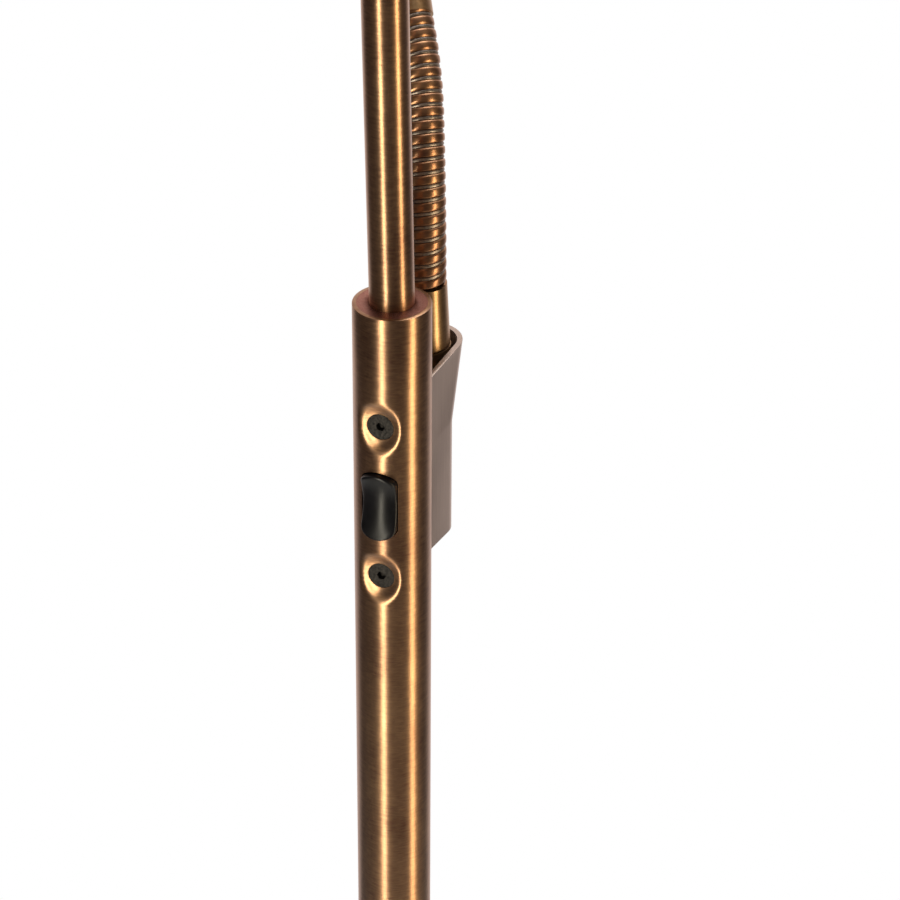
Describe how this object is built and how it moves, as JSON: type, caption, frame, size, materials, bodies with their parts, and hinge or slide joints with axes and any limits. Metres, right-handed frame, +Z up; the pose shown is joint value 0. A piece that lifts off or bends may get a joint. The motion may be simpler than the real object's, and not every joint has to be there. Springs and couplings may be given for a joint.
{
  "type": "floor lamp",
  "caption": "Floor lamp with a round base, a straight bronze column, an upward dish light and a reading light on a gooseneck arm held by a side bracket.",
  "frame": {"origin": "centre of the base's underside", "axes": "+Z up, -Y towards the rocker switch, +Y towards the reading arm's bracket"},
  "size_m": [0.3288, 0.4229, 1.844],
  "materials": {
    "antique_bronze": "brushed antique bronze under satin lacquer",
    "bronze_turned": "turned antique brass, satin",
    "black_rocker": "gloss black",
    "black_steel": "rough matte black oxide",
    "plated_steel": "zinc plated",
    "plain_brass": "machined",
    "cast_iron": "as cast, painted",
    "felt": "pressed felt",
    "rubber": "matte",
    "inner_plastic": "moulded",
    "board": "circuit board",
    "bare_aluminium": "machined",
    "opal": "opal, satin"
  },
  "bodies": {
    "stand": {"floor_pad": "felt", "base_weight": "cast_iron", "base_plate": "plated_steel", "base_nut": "plated_steel", "base_washer": "plated_steel", "column_foot": "plated_steel", "rocker_pin": "plated_steel", "bracket_web": "plated_steel", "friction_washer": "plated_steel", "dish_washer": "plated_steel", "dish_nut": "plated_steel", "nipple_bush": "plated_steel", "base_nipple": "plain_brass", "top_nipple": "plain_brass", "carrier_inserts": "plain_brass", "cable_gland": "rubber", "column_lead": "rubber", "upper_lead": "rubber", "base_cover": "antique_bronze", "foot_collar": "antique_bronze", "lower_column": "antique_bronze", "column_plug": "antique_bronze", "upper_tube": "antique_bronze", "reading_bracket": "antique_bronze", "dish_hub": "antique_bronze", "dish_shell": "antique_bronze", "diffuser_ring": "antique_bronze", "swivel_post": "bronze_turned", "carrier_screws": "black_steel", "switch_carrier": "inner_plastic", "tact_switches": "inner_plastic", "uplight_driver": "inner_plastic", "dimmer_board": "board", "uplight_board": "bare_aluminium", "uplight_diffuser": "opal"},
    "rocker": {"rocker": "black_rocker"},
    "arm_base": {"lower_ferrule": "bronze_turned", "gooseneck_band": "bronze_turned", "wave_washer": "plated_steel", "swivel_nut": "plated_steel", "stop_pin": "plated_steel", "gooseneck_core": "plated_steel", "swivel_nipple": "plain_brass", "reading_lead": "rubber"},
    "reading_arm": {"upper_ferrule": "bronze_turned", "arm_eye": "bronze_turned", "arm_tube": "antique_bronze"},
    "reading_head": {"head_yoke": "bronze_turned", "lens_ring": "bronze_turned", "reading_shade": "antique_bronze", "knuckle_nut": "plated_steel", "knuckle_washers": "plated_steel", "knuckle_screw": "plated_steel", "heat_sink": "bare_aluminium", "reading_led": "bare_aluminium", "reading_reflector": "bare_aluminium", "reading_lens": "opal"}
  },
  "joints": [
    {"name": "rocker_tilt", "type": "hinge", "parent": "stand", "child": "rocker", "pos_m": [0, -0.008, 1.0295], "axis": [1, 0, 0], "range_deg": [-3.5, 3.5], "stiffness_Nm_per_rad": 0.5},
    {"name": "arm_swivel", "type": "hinge", "parent": "stand", "child": "arm_base", "pos_m": [0, 0.0307, 1.0651], "axis": [0, 0, 1], "range_deg": [-147, 72], "deforming": ["reading_lead"]},
    {"name": "gooseneck_bend", "type": "hinge", "parent": "arm_base", "child": "reading_arm", "pos_m": [-0.00466, 0.04077, 1.14394], "axis": [-0.7944, -0.6074, 0], "range_deg": [-25, 50], "deforming": ["gooseneck_band", "gooseneck_core", "reading_lead"]},
    {"name": "head_tilt", "type": "hinge", "parent": "reading_arm", "child": "reading_head", "pos_m": [-0.13445, 0.21648, 1.37264], "axis": [-0.7944, -0.6074, 0], "range_deg": [-75, 15]}
  ]
}
